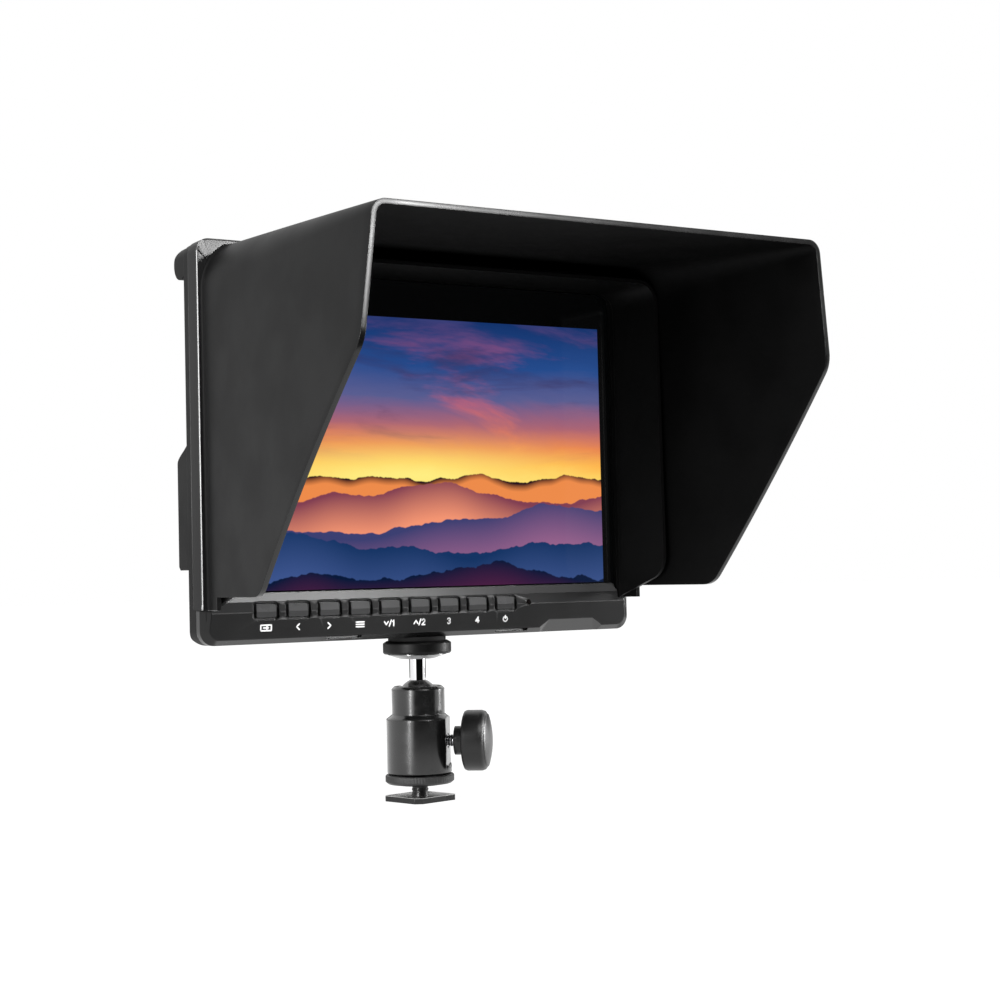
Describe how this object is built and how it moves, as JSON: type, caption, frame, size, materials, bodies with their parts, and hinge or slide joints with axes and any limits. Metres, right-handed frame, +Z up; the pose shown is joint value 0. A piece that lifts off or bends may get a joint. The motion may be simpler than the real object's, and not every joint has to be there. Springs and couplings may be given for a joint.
{
  "type": "camera field monitor with sun hood",
  "caption": "Flat field monitor with a three-sided moulded sun hood and a row of keys, carried on a small ball head with a side clamp knob, locking ring and shoe foot.",
  "frame": {"origin": "centre of the shoe foot's underside, on the ball head's axis", "axes": "+X to the viewer's right, -Y towards the viewer, +Z up through the ball head"},
  "size_m": [0.1749, 0.139, 0.1913],
  "materials": {
    "foot_steel": "satin",
    "black_steel": "satin",
    "head_black": "satin black",
    "plunger_plastic": "matte",
    "screw_steel": "satin",
    "knob_plastic": "satin",
    "ring_metal": "satin black",
    "pad_rubber": "matte",
    "polished_steel": "polished",
    "disc_metal": "satin black",
    "insert_brass": "machined",
    "case_plastic": "fine matte grain",
    "border_glass": "gloss black",
    "display_picture": "gloss, lit picture",
    "panel_metal": "satin",
    "board": "satin",
    "switch_metal": "satin",
    "key_plastic": "satin",
    "light_window": "smoked clear",
    "plate_plastic": "matte",
    "contact_brass": "polished",
    "latch_plastic": "satin",
    "socket_steel": "satin",
    "jack_plastic": "satin",
    "case_screw_steel": "black oxide",
    "hood_plastic": "fine matte grain"
  },
  "bodies": {
    "base": {"foot_plate": "foot_steel", "foot_stud": "black_steel", "base_plug": "head_black", "ball_housing": "head_black"},
    "plunger_body": {"plunger": "plunger_plastic"},
    "knob_body": {"clamp_screw": "screw_steel", "clamp_knob": "knob_plastic"},
    "washer_body": {"ring_washer": "pad_rubber"},
    "ring_body": {"lock_ring": "ring_metal"},
    "ball_body": {"ball": "polished_steel"},
    "stem_body": {"ball_stem": "polished_steel"},
    "monitor": {"mount_disc": "disc_metal", "disc_cup": "polished_steel", "rubber_pad": "pad_rubber", "tripod_screw": "screw_steel", "thread_insert": "insert_brass", "front_bezel": "case_plastic", "rear_cover": "case_plastic", "glass_border": "border_glass", "display_window": "display_picture", "lcd_panel": "panel_metal", "main_board": "board", "key_board": "board", "tact_switches": "switch_metal", "status_led": "light_window", "battery_plate": "plate_plastic", "battery_contacts": "contact_brass", "hdmi_sockets": "socket_steel", "dc_jack": "jack_plastic", "phone_jack": "jack_plastic", "case_screws": "case_screw_steel"},
    "hood": {"hood_frame": "hood_plastic", "hood_shell": "hood_plastic"},
    "latch_body": {"battery_latch": "latch_plastic"},
    "key_body_1": {"key_1": "key_plastic"},
    "key_body_2": {"key_2": "key_plastic"},
    "key_body_3": {"key_3": "key_plastic"},
    "key_body_4": {"key_4": "key_plastic"},
    "key_body_5": {"key_5": "key_plastic"},
    "key_body_6": {"key_6": "key_plastic"},
    "key_body_7": {"key_7": "key_plastic"},
    "key_body_8": {"key_8": "key_plastic"},
    "key_body_9": {"key_9": "key_plastic"}
  },
  "joints": [
    {"name": "side_tilt", "type": "hinge", "parent": "base", "child": "ball_body", "pos_m": [0, 0, 0.0359], "axis": [0, 1, 0], "range_deg": [-24, 24]},
    {"name": "fore_tilt", "type": "hinge", "parent": "ball_body", "child": "stem_body", "pos_m": [0, 0, 0.0359], "axis": [1, 0, 0], "range_deg": [-90, 24]},
    {"name": "pan", "type": "hinge", "parent": "stem_body", "child": "monitor", "pos_m": [0, 0, 0.0359], "axis": [0, 0, 1], "continuous": true},
    {"name": "knob_turn", "type": "hinge", "parent": "base", "child": "knob_body", "pos_m": [0, 0, 0.0209], "axis": [0.766, -0.6428, 0], "range_deg": [0, 183]},
    {"name": "plunger_drop", "type": "slide", "parent": "base", "child": "plunger_body", "axis": [0, 0, 1], "range_m": [-0.0005, 0]},
    {"name": "ring_climb", "type": "slide", "parent": "base", "child": "washer_body", "axis": [0, 0, 1], "range_m": [-0.0035, 0]},
    {"name": "ring_turn", "type": "hinge", "parent": "washer_body", "child": "ring_body", "pos_m": [0, 0, 0.0062], "axis": [0, 0, 1], "range_deg": [-1000, 0]},
    {"name": "hood_off", "type": "slide", "parent": "monitor", "child": "hood", "axis": [0, -1, 0], "range_m": [0, 0.04]},
    {"name": "latch_press", "type": "slide", "parent": "monitor", "child": "latch_body", "axis": [0, -1, 0], "range_m": [0, 0.0012], "stiffness_N_per_m": 600, "springref_m": -0.0008},
    {"name": "press_key_1", "type": "slide", "parent": "monitor", "child": "key_body_1", "axis": [0, 1, 0], "range_m": [0, 0.0004], "stiffness_N_per_m": 400, "springref_m": -0.0005},
    {"name": "press_key_2", "type": "slide", "parent": "monitor", "child": "key_body_2", "axis": [0, 1, 0], "range_m": [0, 0.0004], "stiffness_N_per_m": 400, "springref_m": -0.0005},
    {"name": "press_key_3", "type": "slide", "parent": "monitor", "child": "key_body_3", "axis": [0, 1, 0], "range_m": [0, 0.0004], "stiffness_N_per_m": 400, "springref_m": -0.0005},
    {"name": "press_key_4", "type": "slide", "parent": "monitor", "child": "key_body_4", "axis": [0, 1, 0], "range_m": [0, 0.0004], "stiffness_N_per_m": 400, "springref_m": -0.0005},
    {"name": "press_key_5", "type": "slide", "parent": "monitor", "child": "key_body_5", "axis": [0, 1, 0], "range_m": [0, 0.0004], "stiffness_N_per_m": 400, "springref_m": -0.0005},
    {"name": "press_key_6", "type": "slide", "parent": "monitor", "child": "key_body_6", "axis": [0, 1, 0], "range_m": [0, 0.0004], "stiffness_N_per_m": 400, "springref_m": -0.0005},
    {"name": "press_key_7", "type": "slide", "parent": "monitor", "child": "key_body_7", "axis": [0, 1, 0], "range_m": [0, 0.0004], "stiffness_N_per_m": 400, "springref_m": -0.0005},
    {"name": "press_key_8", "type": "slide", "parent": "monitor", "child": "key_body_8", "axis": [0, 1, 0], "range_m": [0, 0.0004], "stiffness_N_per_m": 400, "springref_m": -0.0005},
    {"name": "press_key_9", "type": "slide", "parent": "monitor", "child": "key_body_9", "axis": [0, 1, 0], "range_m": [0, 0.0004], "stiffness_N_per_m": 400, "springref_m": -0.0005}
  ],
  "couplings": [
    {"joint": "knob_turn", "follows": "plunger_drop", "rad_per_m": -6289.3},
    {"joint": "ring_turn", "follows": "ring_climb", "rad_per_m": 4948}
  ]
}
